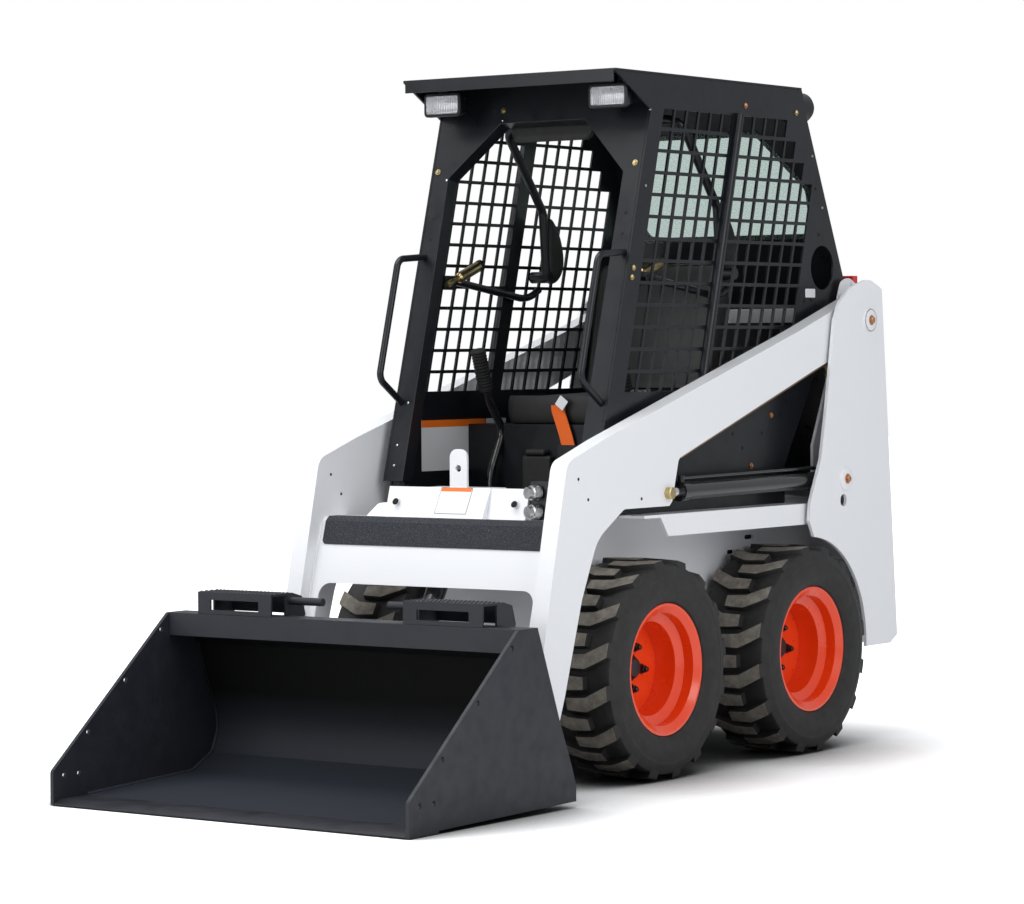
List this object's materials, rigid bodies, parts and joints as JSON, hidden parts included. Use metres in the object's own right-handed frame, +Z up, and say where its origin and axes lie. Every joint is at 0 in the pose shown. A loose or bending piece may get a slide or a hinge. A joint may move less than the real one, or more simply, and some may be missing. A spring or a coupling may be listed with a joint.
{
  "type": "skid steer loader",
  "caption": "Small wheeled skid steer loader with cage cab, radial lift arms, tilting bucket, rear door and safety bar, on lugged tyres.",
  "frame": {"origin": "on the ground under the middle of the whole machine", "axes": "+Z up, the front with the bucket looks along -Y, the left side is +X"},
  "size_m": [1.096, 2.43, 1.8133],
  "materials": {
    "frame_paint": "gloss",
    "cab_paint": "satin",
    "bucket_paint": "satin",
    "wheel_paint": "gloss",
    "tyre": "matte",
    "cylinder_paint": "gloss",
    "rod_chrome": "polished",
    "pin_steel": "satin",
    "anti_slip": "rough",
    "window_glass": "tinted",
    "seat_vinyl": "matte",
    "lever_grip": "matte",
    "lamp_clear": "gloss",
    "lamp_red": "gloss",
    "engine_iron": "matte"
  },
  "bodies": {
    "chassis": {"chassis_tub": "frame_paint", "fender_rails": "frame_paint", "chassis_pins": "pin_steel", "tail_frame": "frame_paint", "engine_block": "engine_iron", "cab_front_frame": "cab_paint", "cab_roof": "cab_paint", "cab_rear": "cab_paint", "rear_window": "window_glass", "cab_floor": "cab_paint", "seat_cushion": "seat_vinyl", "seat_back": "seat_vinyl", "head_pad": "seat_vinyl", "grab_handles": "cab_paint", "steering_levers": "lever_grip", "work_lamps": "lamp_clear", "tail_lamps": "lamp_red", "upright_left": "frame_paint", "upright_right": "frame_paint", "cab_side_left": "cab_paint", "cab_side_right": "cab_paint"},
    "lift_arms": {"lift_arm_left": "frame_paint", "lift_arm_right": "frame_paint", "cross_member": "frame_paint", "step_tread": "anti_slip", "arm_pins": "pin_steel"},
    "bucket": {"coupler": "bucket_paint", "bucket_shell": "bucket_paint", "bucket_sides": "bucket_paint", "cutting_edge": "bucket_paint", "bucket_steps": "bucket_paint"},
    "tilt_barrel": {"tilt_barrel": "cylinder_paint"},
    "tilt_rod": {"tilt_rod": "rod_chrome"},
    "rear_door": {"rear_door": "frame_paint"},
    "seat_bar": {"seat_bar": "cab_paint"},
    "lift_barrel_left": {"lift_barrel_left": "cylinder_paint"},
    "lift_rod_left": {"lift_rod_left": "rod_chrome"},
    "lift_barrel_right": {"lift_barrel_right": "cylinder_paint"},
    "lift_rod_right": {"lift_rod_right": "rod_chrome"},
    "wheel_front_left": {"wheel_front_left": "wheel_paint", "tyre_front_left": "tyre"},
    "wheel_front_right": {"wheel_front_right": "wheel_paint", "tyre_front_right": "tyre"},
    "wheel_rear_left": {"wheel_rear_left": "wheel_paint", "tyre_rear_left": "tyre"},
    "wheel_rear_right": {"wheel_rear_right": "wheel_paint", "tyre_rear_right": "tyre"}
  },
  "joints": [
    {"name": "wheel_front_left_spin", "type": "hinge", "parent": "chassis", "child": "wheel_front_left", "pos_m": [0.3145, 0.015, 0.283], "axis": [1, 0, 0], "continuous": true},
    {"name": "wheel_front_right_spin", "type": "hinge", "parent": "chassis", "child": "wheel_front_right", "pos_m": [-0.3145, 0.015, 0.283], "axis": [1, 0, 0], "continuous": true},
    {"name": "wheel_rear_left_spin", "type": "hinge", "parent": "chassis", "child": "wheel_rear_left", "pos_m": [0.3145, 0.737, 0.283], "axis": [1, 0, 0], "continuous": true},
    {"name": "wheel_rear_right_spin", "type": "hinge", "parent": "chassis", "child": "wheel_rear_right", "pos_m": [-0.3145, 0.737, 0.283], "axis": [1, 0, 0], "continuous": true},
    {"name": "arm_lift", "type": "hinge", "parent": "chassis", "child": "lift_arms", "pos_m": [0, 1.064, 1.176], "axis": [-1, 0, 0], "range_deg": [0, 74]},
    {"name": "bucket_tilt", "type": "hinge", "parent": "lift_arms", "child": "bucket", "pos_m": [0, -0.5, 0.125], "axis": [1, 0, 0], "range_deg": [-25, 105]},
    {"name": "lift_barrel_left_turn", "type": "hinge", "parent": "chassis", "child": "lift_barrel_left", "pos_m": [0.39, 0.929, 0.739], "axis": [-1, 0, 0], "range_deg": [0, 68.75]},
    {"name": "lift_rod_left_slide", "type": "slide", "parent": "lift_barrel_left", "child": "lift_rod_left", "axis": [0, -1, -0.0092], "range_m": [0, 0.54824]},
    {"name": "lift_barrel_right_turn", "type": "hinge", "parent": "chassis", "child": "lift_barrel_right", "pos_m": [-0.39, 0.929, 0.739], "axis": [-1, 0, 0], "range_deg": [0, 68.75]},
    {"name": "lift_rod_right_slide", "type": "slide", "parent": "lift_barrel_right", "child": "lift_rod_right", "axis": [0, -1, -0.0092], "range_m": [0, 0.54824]},
    {"name": "tilt_barrel_turn", "type": "hinge", "parent": "lift_arms", "child": "tilt_barrel", "pos_m": [0, -0.247, 0.711], "axis": [1, 0, 0], "range_deg": [-2.74, 0.73]},
    {"name": "tilt_rod_slide", "type": "slide", "parent": "tilt_barrel", "child": "tilt_rod", "axis": [0, -0.5137, -0.858], "range_m": [-0.04405, 0.18339]},
    {"name": "rear_door_hinge", "type": "hinge", "parent": "chassis", "child": "rear_door", "pos_m": [-0.342, 1.1723, 0.7], "axis": [0, 0, 1], "range_deg": [0, 90]},
    {"name": "seat_bar_swing", "type": "hinge", "parent": "chassis", "child": "seat_bar", "pos_m": [0, 0.52, 1.3], "axis": [1, 0, 0], "range_deg": [0, 75]}
  ],
  "couplings": [
    {"joint": "lift_barrel_left_turn", "follows": "arm_lift", "ratio": 0.9277},
    {"joint": "lift_rod_left_slide", "follows": "arm_lift", "m_per_rad": 0.4241},
    {"joint": "lift_barrel_right_turn", "follows": "arm_lift", "ratio": 0.9277},
    {"joint": "lift_rod_right_slide", "follows": "arm_lift", "m_per_rad": 0.4241},
    {"joint": "tilt_barrel_turn", "follows": "bucket_tilt", "ratio": -0.0251},
    {"joint": "tilt_rod_slide", "follows": "bucket_tilt", "m_per_rad": 0.0998}
  ]
}
